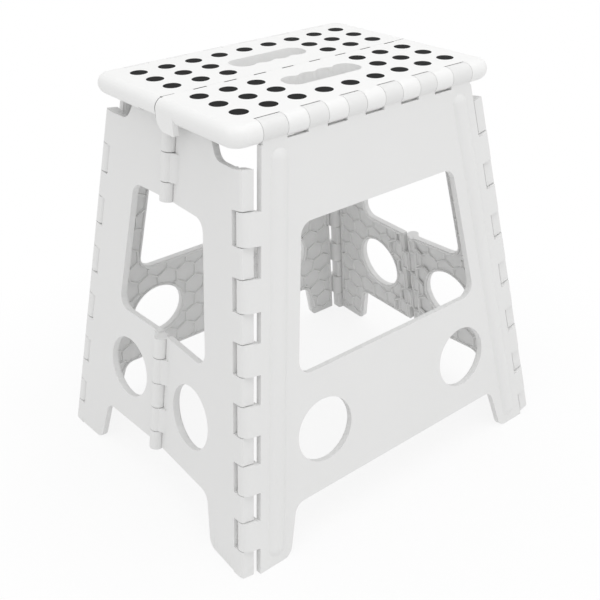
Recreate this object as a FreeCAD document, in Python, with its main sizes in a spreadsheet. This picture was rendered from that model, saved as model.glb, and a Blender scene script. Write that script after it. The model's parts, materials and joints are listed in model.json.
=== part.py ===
"""Folding stool: two leg panels, four end panels and two seat halves on pin hinges.

Frame: millimetres, +Z up, +X along the seat's long side, origin on the floor under the seat's centre.
Every panel is drawn flat (local x across, y up the panel, z outward) and then stood in its place.
"""
import FreeCAD
import Part
import Sketcher
import math
import os
from FreeCAD import Placement, Rotation, Vector

doc = FreeCAD.newDocument("folding_stool")

# Two points closer than this, in millimetres, count as one
TOUCHING = 1e-4

# Driving sizes, in millimetres and degrees
SIZES = {
    "seat_height": 390.0,
    "seat_half_length": 148.0,
    "seat_half_width": 109.5,
    "base_half_length": 198.3,
    "base_half_width": 161.9,
    "corner_set_in": 14.4,
    "end_bow": 8.1,
    "panel_thickness": 6.0,
    "pin_radius": 2.0,
    "pin_clearance": 0.05,
    "knuckle_gap": 0.8,
    "edge_gap": 0.8,
    "cut_overshoot": 0.8,
    "corner_knuckle_radius": 8.0,
    "corner_knuckle_flat": 4.2,
    "corner_knuckle_pairs": 6,
    "corner_end_knuckle": 26.4,
    "corner_top_knuckle": 32.8,
    "corner_pin_inset": 10.0,
    "shoulder_drop": 32.5,
    "leg_top_drop": 14.8,
    "leg_window_drop": 86.4,
    "leg_window_bottom": 169.8,
    "leg_window_top_half": 90.4,
    "leg_window_bottom_half": 112.2,
    "leg_hole_across": 90.0,
    "leg_hole_up": 108.0,
    "hole_radius": 31.0,
    "leg_arch_height": 49.0,
    "leg_foot_inner": 146.0,
    "leg_arch_half": 132.3,
    "ridge_inset": 18.0,
    "ridge_half_width": 8.8,
    "ridge_height": 3.2,
    "ridge_top_drop": 29.0,
    "ridge_foot": 18.0,
    "window_corner_radius": 13.0,
    "arch_corner_radius": 12.0,
    "foot_corner_radius": 11.0,
    "shoulder_corner_radius": 12.0,
    "end_window_drop": 88.0,
    "end_window_bottom": 171.0,
    "end_window_top_half": 56.3,
    "end_window_bottom_half": 74.9,
    "end_hole_across": 55.0,
    "end_hole_up": 111.0,
    "end_arch_height": 50.0,
    "end_arch_half": 92.0,
    "end_foot_inner": 104.0,
    "end_crown_drop": 18.0,
    "end_crown_half": 62.0,
    "end_crown_slope": 8.0,
    "middle_axis_out": 2.5,
    "middle_knuckle_radius": 6.5,
    "middle_inner_knuckle": 26.4,
    "middle_low_bottom": 47.8,
    "middle_low_end_knuckle": 21.2,
    "middle_low_count": 5,
    "middle_high_drop": 88.4,
    "middle_high_end_knuckle": 18.4,
    "middle_high_count": 3,
    "middle_ramp_reach": 14.5,
    "middle_ramp_rise": 4.2,
    "middle_ramp_thickness": 4.5,
    "middle_pin_inset": 4.0,
    "loose_clearance": 0.45,
    "rim_radius": 9.5,
    "rim_rounding": 9.4,
    "rim_wall": 11.5,
    "seat_plate": 6.0,
    "seat_corner_radius": 15.5,
    "seat_seam": 0.2,
    "seat_hinge_depth": 6.12,
    "seat_hinge_margin": 1.0,
    "seat_hinge_side_knuckles": 5,
    "seat_hinge_last_knuckle": 25.0,
    "seat_hinge_pin_inset": 3.0,
    "lug_pitch": 31.7,
    "lug_width": 13.5,
    "lug_pairs": 6,
    "lug_radius": 6.5,
    "lug_web": 6.0,
    "notch_width": 2.0,
    "notch_depth": 4.0,
    "eye_offset": 3.0,
    "eye_radius": 6.7,
    "eye_wall": 2.8,
    "lobe_width": 26.0,
    "lobe_corner": 12.0,
    "lobe_thickness": 5.0,
    "lobe_drop": 26.5,
    "lobe_relief_margin": 5.0,
    "lobe_relief_height": 4.5,
    "slot_half_length": 42.0,
    "slot_inner": 28.0,
    "slot_outer": 52.0,
    "slot_wall": 2.5,
    "slot_depth": 16.0,
    "finger_radius": 12.0,
    "finger_depth": 3.0,
    "finger_count": 4,
    "dot_radius": 8.0,
    "dot_depth": 1.5,
    "dot_pitch": 29.27,
    "dot_columns": 9,
    "dot_rows": 3,
    "dot_row_first": 20.82,
    "dot_row_pitch": 27.72,
    "dot_gap_columns": 3,
}

sheet = doc.addObject("Spreadsheet::Sheet", "sizes")
for row, (alias, value) in enumerate(SIZES.items(), start=1):
    sheet.set(f"A{row}", alias)
    sheet.set(f"B{row}", str(value))
    sheet.setAlias(f"B{row}", alias)
doc.recompute()


def size(alias):
    """One driving size as a number."""
    return float(sheet.get(alias))


def count(alias):
    """One driving count as a whole number."""
    return int(round(size(alias)))


def meet(first, first_depth, second, second_depth, third, third_depth):
    """The point where three planes, each a normal and a distance, meet."""
    triple = first.dot(second.cross(third))
    point = second.cross(third) * first_depth
    point += third.cross(first) * second_depth
    point += first.cross(second) * third_depth
    return point * (1.0 / triple)


# Directions and hinge axes worked out from the sizes; the front left corner stands for all four
X_AXIS = Vector(1, 0, 0)
Y_AXIS = Vector(0, 1, 0)
Z_AXIS = Vector(0, 0, 1)
TURN = Placement(Vector(0, 0, 0), Rotation(Z_AXIS, 180))

seat_axis_up = size("seat_height") - size("rim_radius")
seat_axis_out = size("seat_half_width") - size("rim_radius")
lean_run = size("base_half_width") - seat_axis_out
lean_reach = math.hypot(lean_run, seat_axis_up)
leg_lean = math.acos(size("seat_hinge_depth") / lean_reach) - math.atan2(seat_axis_up, lean_run)
end_run = size("base_half_length") - size("seat_half_length") + size("corner_set_in")
end_lean = math.atan2(end_run, size("seat_height"))

foot_corner = Vector(-size("base_half_length"), -size("base_half_width"), 0)
corner_up = Vector(math.tan(end_lean), math.tan(leg_lean), 1)
corner_up.normalize()
leg_normal = Vector(0, -math.cos(leg_lean), math.sin(leg_lean))
end_across = Vector(size("end_bow"), size("base_half_width"), 0)
end_normal = corner_up.cross(end_across)
end_normal.normalize()

corner_depth = size("corner_knuckle_radius")
corner_axis_foot = foot_corner + meet(leg_normal, -corner_depth, end_normal, -corner_depth, Z_AXIS, 0)
middle_up = end_normal.cross(Y_AXIS)
middle_up.normalize()
if middle_up.z < 0:
    middle_up = middle_up * -1
to_middle = size("base_half_width")
end_middle = foot_corner + meet(end_normal, 0, Y_AXIS, to_middle, Z_AXIS, 0)
middle_axis_foot = foot_corner + meet(end_normal, size("middle_axis_out"), Y_AXIS, to_middle, Z_AXIS, 0)

centre_axis_drop = 2 * corner_depth + size("middle_axis_out") - size("seat_hinge_depth")
centre_axis_up = seat_axis_up - centre_axis_drop

leg_turn = Rotation(X_AXIS, 90 - math.degrees(leg_lean))
leg_frame = Placement(Vector(0, -size("base_half_width"), 0), leg_turn)


def end_frame(normal):
    """The frame of an end half: local y up the middle line, local z along the outward normal."""
    turn = Rotation(middle_up.cross(normal), middle_up, normal, "ZYX")
    return Placement(end_middle, turn)


def mirrored(vector):
    """The vector mirrored from the front half of the stool to the rear half."""
    return Vector(vector.x, -vector.y, vector.z)


end_front_frame = end_frame(end_normal)
end_rear_frame = end_frame(mirrored(end_normal))


def local_point(frame, point):
    """A point of the stool in a panel's own frame."""
    return frame.inverse().multVec(point)


def local_direction(frame, direction):
    """A direction of the stool in a panel's own frame."""
    return frame.Rotation.inverted().multVec(direction)


leg_axis_foot = local_point(leg_frame, corner_axis_foot)
leg_axis_up = local_direction(leg_frame, corner_up)
end_axis_foot = local_point(end_front_frame, corner_axis_foot)
end_axis_up = local_direction(end_front_frame, corner_up)
middle_axis_local = local_point(end_front_frame, middle_axis_foot)
edge_offset = corner_depth + size("edge_gap")
seat_axis_local = local_point(leg_frame, Vector(0, -seat_axis_out, seat_axis_up))


def edge_at(axis_foot, axis_up, height):
    """Half width of a panel's straight side, beside its corner knuckles, at a height up the panel."""
    run = abs(axis_up.x) / axis_up.y
    return abs(axis_foot.x) - (height - axis_foot.y) * run - edge_offset / axis_up.y


def below_seat(drop):
    """Height up a panel of something that lies a driving size below the seat's height."""
    return size("seat_height") - size(drop)


shoulder_height = below_seat("shoulder_drop")
leg_top_edge = below_seat("leg_top_drop")
corner_length = shoulder_height / leg_axis_up.y
pair_count = count("corner_knuckle_pairs")
leg_knuckle = (corner_length - size("corner_top_knuckle")) / pair_count - size("corner_end_knuckle")
leg_top_half = edge_at(leg_axis_foot, leg_axis_up, leg_top_edge)
hinge_half = leg_top_half - size("seat_hinge_margin")
side_knuckles = count("seat_hinge_side_knuckles")
hinge_knuckle = (hinge_half - size("seat_hinge_last_knuckle")) / (side_knuckles - 0.5)
lug_reach = (count("lug_pairs") - 0.5) * size("lug_pitch") / 2 + size("lug_width") / 2
middle_edge = size("middle_knuckle_radius") + size("edge_gap") / 2
ramp_slope = math.atan2(size("middle_ramp_rise"), size("middle_ramp_reach") - middle_edge)
ridge_height = size("ridge_height")
ridge_radius = (size("ridge_half_width") ** 2 + ridge_height ** 2) / (2 * ridge_height)

# Worked-out lengths that the objects' expressions read
WORKED = {
    "leg_edge_foot": edge_at(leg_axis_foot, leg_axis_up, 0),
    "leg_edge_top": leg_top_half,
    "leg_top_edge": leg_top_edge,
    "leg_window_top": below_seat("leg_window_drop"),
    "ridge_radius": ridge_radius,
    "ridge_length": (below_seat("ridge_top_drop") - size("ridge_foot")) / leg_axis_up.y,
    "end_edge_foot": edge_at(end_axis_foot, end_axis_up, 0),
    "end_edge_shoulder": edge_at(end_axis_foot, end_axis_up, shoulder_height),
    "shoulder_height": shoulder_height,
    "end_window_top": below_seat("end_window_drop"),
    "end_crown_height": below_seat("end_crown_drop"),
    "leg_knuckle_length": leg_knuckle,
    "corner_length": corner_length,
    "hinge_half_length": hinge_half,
    "hinge_knuckle_length": hinge_knuckle,
    "middle_edge": middle_edge,
    "ramp_length": (size("middle_ramp_reach") - middle_edge / 2) / math.cos(ramp_slope),
    "corner_edge_offset": edge_offset,
    "leg_hinge_up": seat_axis_local.y,
    "centre_axis_up": centre_axis_up,
    "lug_reach": lug_reach,
}
worked = doc.addObject("Spreadsheet::Sheet", "worked")
for row, (alias, value) in enumerate(WORKED.items(), start=1):
    worked.set(f"A{row}", alias)
    worked.set(f"B{row}", repr(float(value)))
    worked.setAlias(f"B{row}", alias)
doc.recompute()


def number(expression):
    """The value of an expression in the two sheets, as a plain number."""
    value = sheet.evalExpression(expression)
    return float(getattr(value, "Value", value))


def bind(item, **expressions):
    """Tie properties of a document object to expressions in the two sheets."""
    for prop, expression in expressions.items():
        item.setExpression(prop, expression)


def box(name, length, width, height, corner, rotation=Rotation()):
    """A block whose three sizes are expressions, with its low corner placed and turned."""
    item = doc.addObject("Part::Box", name)
    bind(item, Length=length, Width=width, Height=height)
    item.Placement = Placement(corner, rotation)
    return item


def rod(name, radius, length, start, direction):
    """A cylinder whose radius and length are expressions, from a start point along a direction."""
    item = doc.addObject("Part::Cylinder", name)
    bind(item, Radius=radius, Height=length)
    item.Placement = Placement(start, Rotation(Z_AXIS, direction))
    return item


def ball(name, radius, centre):
    """A sphere whose radius is an expression."""
    item = doc.addObject("Part::Sphere", name)
    bind(item, Radius=radius)
    item.Placement = Placement(centre, Rotation())
    return item


def fuse(name, items):
    """All the items joined in one solid."""
    item = doc.addObject("Part::MultiFuse", name)
    item.Shapes = items
    item.Refine = True
    return item


def common(name, items):
    """The space that all the items share."""
    item = doc.addObject("Part::MultiCommon", name)
    item.Shapes = items
    item.Refine = True
    return item


def cut(name, base, tools):
    """The base with all the tools taken away."""
    tool = tools[0] if len(tools) == 1 else fuse(f"{name}_cutters", tools)
    item = doc.addObject("Part::Cut", name)
    item.Base = base
    item.Tool = tool
    item.Refine = True
    return item


def origin_plane(body, role):
    """One of a body's own origin planes."""
    return next(feature for feature in body.Origin.OriginFeatures if feature.Role == role)


def add_polygon(sketch, corners):
    """A closed loop of straight lines whose corners are held by expressions.

    Args:
        sketch: the sketch that gets the lines.
        corners: (x expression, y expression) of each corner, in order.
    """
    spots = [Vector(number(across), number(up), 0) for across, up in corners]
    first = sketch.GeometryCount
    for index, spot in enumerate(spots):
        sketch.addGeometry(Part.LineSegment(spot, spots[(index + 1) % len(spots)]), False)
    for index, (across, up) in enumerate(corners):
        line = first + index
        following = first + (index + 1) % len(corners)
        sketch.addConstraint(Sketcher.Constraint("Coincident", line, 2, following, 1))
        for kind, expression in (("DistanceX", across), ("DistanceY", up)):
            held = sketch.addConstraint(Sketcher.Constraint(kind, -1, 1, line, 1, number(expression)))
            sketch.setExpression(f"Constraints[{held}]", expression)


def add_circle(sketch, across, up, radius):
    """A circle whose centre and radius are held by expressions."""
    centre = Vector(number(across), number(up), 0)
    index = sketch.addGeometry(Part.Circle(centre, Z_AXIS, number(radius)), False)
    for kind, expression in (("DistanceX", across), ("DistanceY", up)):
        held = sketch.addConstraint(Sketcher.Constraint(kind, -1, 1, index, 3, number(expression)))
        sketch.setExpression(f"Constraints[{held}]", expression)
    held = sketch.addConstraint(Sketcher.Constraint("Radius", index, number(radius)))
    sketch.setExpression(f"Constraints[{held}]", radius)


def edges_at(shape, spots):
    """Names of the upright edges of a flat panel that stand at the given (x, y) spots."""
    found = []
    for index, edge in enumerate(shape.Edges, start=1):
        ends = [vertex.Point for vertex in edge.Vertexes]
        if len(ends) != 2 or abs(ends[0].z - ends[1].z) < TOUCHING:
            continue
        for across, up in spots:
            spot = Vector(number(across), number(up), 0)
            if all(math.hypot(end.x - spot.x, end.y - spot.y) < TOUCHING for end in ends):
                found.append(f"Edge{index}")
    return found


def round_edges(body, name, base, edge_names, radius):
    """A fillet on named edges of a body's feature."""
    fillet = body.newObject("PartDesign::Fillet", name)
    fillet.Base = (base, edge_names)
    bind(fillet, Radius=radius)
    doc.recompute()
    return fillet


def flat_panel(name, outline, loops, circles, roundings):
    """A flat panel with its outer face at local z = 0.

    Args:
        name: start of the names of the body and its features.
        outline: corners of the outer edge.
        loops: corner lists of the straight-sided openings.
        circles: (x, y, radius) expressions of the round openings.
        roundings: (radius expression, corners that get it).
    """
    body = doc.addObject("PartDesign::Body", f"{name}_slab")
    sketch = body.newObject("Sketcher::SketchObject", f"{name}_outline")
    sketch.AttachmentSupport = [(origin_plane(body, "XY_Plane"), "")]
    sketch.MapMode = "FlatFace"
    for corners in [outline] + loops:
        add_polygon(sketch, corners)
    for across, up, radius in circles:
        add_circle(sketch, across, up, radius)
    pad = body.newObject("PartDesign::Pad", f"{name}_pad")
    pad.Profile = sketch
    pad.Reversed = True
    bind(pad, Length="sizes.panel_thickness")
    doc.recompute()
    feature = pad
    for index, (radius, corners) in enumerate(roundings):
        names = edges_at(feature.Shape, corners)
        feature = round_edges(body, f"{name}_rounding_{index}", feature, names, radius)
    return body


def floor_cutter(name, frame):
    """A block under the floor, in a panel's own frame, that trims the feet level."""
    reach = 2 * size("base_half_length")
    under = Placement(Vector(-reach, -reach, -reach), Rotation())
    placed = frame.inverse().multiply(under)
    side = "4 * sizes.base_half_length"
    return box(name, side, side, "2 * sizes.base_half_length", placed.Base, placed.Rotation)


def leg_corner_spans():
    """(start, length expression) of each corner knuckle of a leg, up the corner axis from the floor."""
    pitch = size("corner_end_knuckle") + leg_knuckle
    first = size("corner_end_knuckle") + size("knuckle_gap") / 2
    length = "worked.leg_knuckle_length - sizes.knuckle_gap"
    return [(first + index * pitch, length) for index in range(pair_count)]


def end_corner_spans():
    """(start, length expression) of each corner knuckle of an end half, up the corner axis from the floor."""
    pitch = size("corner_end_knuckle") + leg_knuckle
    half_gap = size("knuckle_gap") / 2
    length = "sizes.corner_end_knuckle - sizes.knuckle_gap"
    bottom = (0.0, "sizes.corner_end_knuckle - sizes.knuckle_gap / 2")
    top = (pair_count * pitch + half_gap, "sizes.corner_top_knuckle - sizes.knuckle_gap / 2")
    return [bottom] + [(index * pitch + half_gap, length) for index in range(1, pair_count)] + [top]


def corner_knuckles(name, axis_foot, axis_up, inward, spans):
    """Knuckles along a corner axis, each with the web that ties it to its panel's straight side.

    Args:
        name: start of the object names.
        axis_foot: the axis at the floor, in the panel's frame.
        axis_up: the axis direction, in the panel's frame.
        inward: +1 where the panel lies towards local +x of the axis, -1 where towards -x.
        spans: (start, length expression) of each knuckle along the axis.
    """
    pieces = []
    web_floor = corner_depth - size("panel_thickness")
    turn = Rotation(Vector(axis_up.y, -axis_up.x, 0), axis_up, Z_AXIS, "ZYX")
    web = "worked.corner_edge_offset + sizes.edge_gap"
    for index, (start, length) in enumerate(spans):
        low = axis_foot + axis_up * start
        knuckle = rod(f"{name}_knuckle_{index}", "sizes.corner_knuckle_radius", length, low, axis_up)
        pieces.append(knuckle)
        across = 0 if inward > 0 else -number(web)
        corner = low + turn.multVec(Vector(across, 0, web_floor))
        pieces.append(box(f"{name}_web_{index}", web, length, "sizes.panel_thickness", corner, turn))
    return pieces


def corner_flats(name, axis_foot, axis_up, inward):
    """The cutters of the flats on an end half's corner knuckles, on the sides of the leg's face and edge."""
    turn = Rotation(Vector(axis_up.y, -axis_up.x, 0), axis_up, Z_AXIS, "ZYX")
    flat = size("corner_knuckle_flat")
    radius = "sizes.corner_knuckle_radius"
    length = "worked.corner_length + 4 * sizes.corner_knuckle_radius"
    across = -flat - corner_depth if inward > 0 else flat
    face = axis_foot + turn.multVec(Vector(across, -2 * corner_depth, -corner_depth))
    edge = axis_foot + turn.multVec(Vector(-corner_depth, -2 * corner_depth, -flat - corner_depth))
    return [box(f"{name}_face", radius, length, f"2 * {radius}", face, turn),
            box(f"{name}_edge", f"2 * {radius}", length, radius, edge, turn)]


def corner_bore(name, axis_foot, axis_up):
    """The blind bore of a corner pin."""
    start = axis_foot + axis_up * size("corner_pin_inset")
    length = "worked.corner_length - 2 * sizes.corner_pin_inset"
    return rod(name, "sizes.pin_radius + sizes.pin_clearance", length, start, axis_up)


def leg_hinge_spans():
    """(start, length expression) along X of each seat hinge knuckle of a leg: every second one."""
    spans = []
    for index in range(0, side_knuckles, 2):
        low = (index + 0.5) * hinge_knuckle
        length = "worked.hinge_knuckle_length"
        if index == side_knuckles - 1:
            length = "sizes.seat_hinge_last_knuckle"
        spans += [(low, length), (-low - number(length), length)]
    return spans


def leg_ridges(name):
    """The two half-round ridges that stiffen a leg's outer face beside its straight sides."""
    bars = []
    low, high = size("ridge_foot"), below_seat("ridge_top_drop")
    under = ridge_height - ridge_radius
    for side, sign in (("left", -1), ("right", 1)):
        ends = []
        for level in (low, high):
            middle = edge_at(leg_axis_foot, leg_axis_up, level) - size("ridge_inset")
            ends.append(Vector(sign * middle, level, under))
        bars.append(rod(f"{name}_{side}_bar", "worked.ridge_radius", "worked.ridge_length",
                        ends[0], ends[1] - ends[0]))
        for index, centre in enumerate(ends):
            bars.append(ball(f"{name}_{side}_end_{index}", "worked.ridge_radius", centre))
    corner = Vector(-size("base_half_length"), 0, -size("panel_thickness") / 2)
    proud = box(f"{name}_proud", "2 * sizes.base_half_length", "sizes.seat_height",
                "sizes.panel_thickness + sizes.ridge_height", corner)
    return common(name, [fuse(f"{name}_bars", bars), proud])


def make_leg(label, placement):
    """One long leg panel with its corner knuckles, its seat hinge knuckles and its ridges."""
    top, arch_top = "worked.leg_top_edge", "sizes.leg_arch_height"
    rail = [("worked.leg_edge_foot", "0.0"), ("worked.leg_edge_top", top),
            ("-worked.leg_edge_top", top), ("-worked.leg_edge_foot", "0.0")]
    toes = [("-sizes.leg_foot_inner", "0.0"), ("sizes.leg_foot_inner", "0.0")]
    arch = [("-sizes.leg_arch_half", arch_top), ("sizes.leg_arch_half", arch_top)]
    window = [("-sizes.leg_window_bottom_half", "sizes.leg_window_bottom"),
              ("sizes.leg_window_bottom_half", "sizes.leg_window_bottom"),
              ("sizes.leg_window_top_half", "worked.leg_window_top"),
              ("-sizes.leg_window_top_half", "worked.leg_window_top")]
    holes = [(f"{sign}sizes.leg_hole_across", "sizes.leg_hole_up", "sizes.hole_radius")
             for sign in ("", "-")]
    outline = rail + [toes[0]] + arch + [toes[1]]
    roundings = [("sizes.window_corner_radius", window), ("sizes.arch_corner_radius", arch),
                 ("sizes.foot_corner_radius", toes)]
    pieces = [flat_panel(label, outline, [window], holes, roundings), leg_ridges(f"{label}_ridges")]
    cutters = [floor_cutter(f"{label}_floor", leg_frame)]
    for side, inward in (("left", 1), ("right", -1)):
        foot = Vector(leg_axis_foot.x * inward, leg_axis_foot.y, leg_axis_foot.z)
        up = Vector(leg_axis_up.x * inward, leg_axis_up.y, leg_axis_up.z)
        pieces += corner_knuckles(f"{label}_{side}", foot, up, inward, leg_corner_spans())
        cutters.append(corner_bore(f"{label}_{side}_bore", foot, up))
    thickness = size("panel_thickness")
    tall = "worked.leg_hinge_up - worked.leg_top_edge + sizes.panel_thickness"
    for index, (start, length) in enumerate(leg_hinge_spans()):
        left = start + size("knuckle_gap") / 2
        wide = f"{length} - sizes.knuckle_gap"
        base = Vector(left, seat_axis_local.y, seat_axis_local.z)
        pieces.append(rod(f"{label}_hinge_{index}", "sizes.rim_radius", wide, base, X_AXIS))
        corner = Vector(left, leg_top_edge - thickness, -thickness)
        pieces.append(box(f"{label}_hinge_web_{index}", wide, tall, "sizes.panel_thickness", corner))
    cutters.append(seat_hinge_bore(f"{label}_hinge_bore", seat_axis_local))
    leg = cut(label, fuse(f"{label}_joined", pieces), cutters)
    leg.Label = label
    leg.Placement = placement
    return leg


def seat_hinge_bore(name, axis_point):
    """The blind bore of a seat hinge pin."""
    half = hinge_half - size("seat_hinge_pin_inset")
    start = Vector(-half, axis_point.y, axis_point.z)
    length = "2 * (worked.hinge_half_length - sizes.seat_hinge_pin_inset)"
    return rod(name, "sizes.pin_radius + sizes.pin_clearance", length, start, X_AXIS)


def middle_groups():
    """(bottom, alias of the first and last knuckle, count alias) of an end's lower and upper middle hinge."""
    return ((size("middle_low_bottom"), "middle_low_end_knuckle", "middle_low_count"),
            (below_seat("middle_high_drop"), "middle_high_end_knuckle", "middle_high_count"))


def middle_spans(front):
    """(start, length expression) of each middle hinge knuckle on the front or the rear half of an end."""
    spans = []
    for start, end_knuckle, total in middle_groups():
        for index in range(count(total)):
            outermost = index in (0, count(total) - 1)
            alias = end_knuckle if outermost else "middle_inner_knuckle"
            if (index % 2 == 1) == front:
                spans.append((start + size("knuckle_gap") / 2, f"sizes.{alias} - sizes.knuckle_gap"))
            start += size(alias)
    return spans


def middle_pin_ends():
    """(start, length expression) of the lower and the upper middle pin of an end."""
    ends = []
    for bottom, end_knuckle, total in middle_groups():
        start = bottom + size("middle_pin_inset")
        inner = f"(sizes.{total} - 2) * sizes.middle_inner_knuckle"
        ends.append((start, f"2 * sizes.{end_knuckle} + {inner} - 2 * sizes.middle_pin_inset"))
    return ends


def middle_ramp(name, front, start, length):
    """The slope that eases a middle hinge knuckle down to its panel's outer face."""
    turn = Rotation(Y_AXIS, math.degrees(ramp_slope) if front else -math.degrees(ramp_slope))
    foot = Vector(size("middle_ramp_reach") if front else -size("middle_ramp_reach"), start, 0)
    corner = foot - turn.multVec(Z_AXIS) * size("middle_ramp_thickness")
    if front:
        corner -= turn.multVec(X_AXIS) * number("worked.ramp_length")
    return box(name, "worked.ramp_length", length, "sizes.middle_ramp_thickness", corner, turn)


def make_end_half(label, front, clearance, frame, placement):
    """One half of an end: corner knuckles on one side, middle hinge knuckles on the other.

    Args:
        label: the sub-part's name.
        front: True for the half whose corner lies towards local +x.
        clearance: alias of the clearance in the middle hinge's bores.
        frame: the frame the half is drawn in, for trimming its foot on the floor.
        placement: where the finished half stands.
    """
    sign = "" if front else "-"
    side = 1 if front else -1
    low = [(f"{sign}worked.middle_edge", "sizes.end_arch_height")]
    arch = [(f"{sign}sizes.end_arch_half", "sizes.end_arch_height")]
    toe = [(f"{sign}sizes.end_foot_inner", "0.0")]
    edge = [(f"{sign}worked.end_edge_foot", "0.0"),
            (f"{sign}worked.end_edge_shoulder", "worked.shoulder_height")]
    slope = "sizes.end_crown_half + sizes.end_crown_slope"
    crown = [(f"{sign}({slope})", "worked.shoulder_height"),
             (f"{sign}sizes.end_crown_half", "worked.end_crown_height"),
             (f"{sign}worked.middle_edge", "worked.end_crown_height")]
    window_outer = [(f"{sign}sizes.end_window_top_half", "worked.end_window_top"),
                    (f"{sign}sizes.end_window_bottom_half", "sizes.end_window_bottom")]
    window = [(f"{sign}worked.middle_edge", "worked.end_window_top")] + window_outer
    window += [(f"{sign}worked.middle_edge", "sizes.end_window_bottom")]
    outline = low + arch + toe + edge + crown + window
    hole = [(f"{sign}sizes.end_hole_across", "sizes.end_hole_up", "sizes.hole_radius")]
    roundings = [("sizes.window_corner_radius", window_outer), ("sizes.arch_corner_radius", arch),
                 ("sizes.foot_corner_radius", toe), ("sizes.shoulder_corner_radius", [crown[0]])]
    pieces = [flat_panel(label, outline, [], hole, roundings)]
    foot = Vector(end_axis_foot.x * side, end_axis_foot.y, end_axis_foot.z)
    up = Vector(end_axis_up.x * side, end_axis_up.y, end_axis_up.z)
    pieces += corner_knuckles(f"{label}_corner", foot, up, -side, end_corner_spans())
    web = "worked.middle_edge + sizes.edge_gap"
    middle_x = middle_axis_local.x * side
    for index, (start, length) in enumerate(middle_spans(front)):
        base = Vector(middle_x, start, size("middle_axis_out"))
        knuckle = rod(f"{label}_middle_{index}", "sizes.middle_knuckle_radius", length, base, Y_AXIS)
        pieces.append(knuckle)
        corner = Vector(0 if front else -number(web), start, -size("panel_thickness"))
        pieces.append(box(f"{label}_middle_web_{index}", web, length, "sizes.panel_thickness", corner))
        pieces.append(middle_ramp(f"{label}_middle_ramp_{index}", front, start, length))
    cutters = [floor_cutter(f"{label}_floor", frame), corner_bore(f"{label}_corner_bore", foot, up),
               *corner_flats(f"{label}_corner_flat", foot, up, -side)]
    bore = f"sizes.pin_radius + sizes.{clearance}"
    for index, (start, length) in enumerate(middle_pin_ends()):
        base = Vector(middle_x, start, size("middle_axis_out"))
        cutters.append(rod(f"{label}_middle_bore_{index}", bore, length, base, Y_AXIS))
    half = cut(label, fuse(f"{label}_joined", pieces), cutters)
    half.Label = label
    half.Placement = placement
    return half


def dot_places():
    """Centres of the grip dots of the front half, in rows across the seat, clear of the hand slot."""
    middle = (count("dot_columns") - 1) / 2
    spared = (count("dot_gap_columns") - 1) / 2
    places = []
    for row in range(count("dot_rows")):
        back = size("dot_row_first") + row * size("dot_row_pitch")
        for column in range(count("dot_columns")):
            if row < count("dot_rows") - 1 and abs(column - middle) <= spared:
                continue
            places.append(((column - middle) * size("dot_pitch"), -back))
    return places


def lug_starts(beyond):
    """Low end along X of each centre hinge lug of a half, in step with the other half's lugs.

    Args:
        beyond: how many more places to list past the first and the last lug.
    """
    pairs = count("lug_pairs")
    pitch = size("lug_pitch")
    shift = pitch / 4 - size("lug_width") / 2
    return [(index - (pairs - 1) / 2) * pitch + shift for index in range(-beyond, pairs + beyond)]


def seat_block(label):
    """The rounded-over seat half, hollow underneath, before its hinges and slots."""
    body = doc.addObject("PartDesign::Body", f"{label}_block")
    sketch = body.newObject("Sketcher::SketchObject", f"{label}_plan")
    sketch.AttachmentSupport = [(origin_plane(body, "XY_Plane"), "")]
    sketch.MapMode = "FlatFace"
    front, middle = "-sizes.seat_half_width", "-sizes.seat_seam / 2"
    outer = [("-sizes.seat_half_length", front), ("sizes.seat_half_length", front)]
    seam = [("sizes.seat_half_length", middle), ("-sizes.seat_half_length", middle)]
    add_polygon(sketch, outer + seam)
    pad = body.newObject("PartDesign::Pad", f"{label}_pad")
    pad.Profile = sketch
    bind(pad, Length="2 * sizes.rim_radius")
    doc.recompute()
    upright = edges_at(pad.Shape, outer)
    corners = round_edges(body, f"{label}_corners", pad, upright, "sizes.seat_corner_radius")
    seam_line = number(middle)
    names = []
    for index, edge in enumerate(corners.Shape.Edges, start=1):
        extent = edge.BoundBox
        if extent.ZLength < TOUCHING and extent.YMin < seam_line - TOUCHING:
            names.append(f"Edge{index}")
    rim = round_edges(body, f"{label}_rim", corners, names, "sizes.rim_rounding")
    hollow = body.newObject("Sketcher::SketchObject", f"{label}_hollow_plan")
    hollow.AttachmentSupport = [(origin_plane(body, "XY_Plane"), "")]
    hollow.MapMode = "FlatFace"
    inner_x = "(sizes.seat_half_length - sizes.rim_wall)"
    inner_y = "-(sizes.seat_half_width - sizes.rim_wall)"
    past = "sizes.cut_overshoot"
    add_polygon(hollow, [(f"-{inner_x}", inner_y), (inner_x, inner_y),
                         (inner_x, past), (f"-{inner_x}", past)])
    pocket = body.newObject("PartDesign::Pocket", f"{label}_hollow")
    pocket.Profile = hollow
    pocket.Reversed = True
    bind(pocket, Length="2 * sizes.rim_radius - sizes.seat_plate")
    doc.recompute()
    if pocket.Shape.Volume >= rim.Shape.Volume:
        raise RuntimeError("the seat's hollow cut nothing")
    body.Placement = Placement(Vector(0, 0, size("seat_height") - 2 * size("rim_radius")), Rotation())
    return body


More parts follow.
